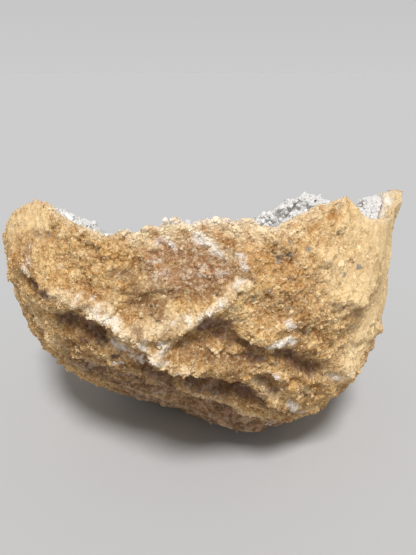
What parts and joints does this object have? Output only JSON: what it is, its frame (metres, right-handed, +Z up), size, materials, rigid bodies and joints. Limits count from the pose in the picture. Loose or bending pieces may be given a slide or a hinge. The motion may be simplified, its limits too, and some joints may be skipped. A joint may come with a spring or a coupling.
{
  "type": "geode half",
  "caption": "Half geode: a crumbly tan rock shell, broken open along a ragged rim with two horns, lined with a crust of white quartz crystals.",
  "frame": {"origin": "centre of the hollow brought straight down to the flat that the stone stands on", "axes": "+Z up out of the hollow, -Y towards the high broken front wall, +X towards the taller horn"},
  "size_m": [0.1021, 0.0988, 0.0674],
  "materials": {
    "rind": "Dry crumbly ochre rock with a sugary grain, cream broken ledges, dark purple-brown recesses and pinkish quartz in the spalled patch.",
    "crystal_crust": "Milky white to clear quartz points with bright flat faces on a pale chalcedony bed."
  },
  "bodies": {
    "root": {"rind": "rind", "crystal_crust": "crystal_crust"}
  },
  "joints": []
}
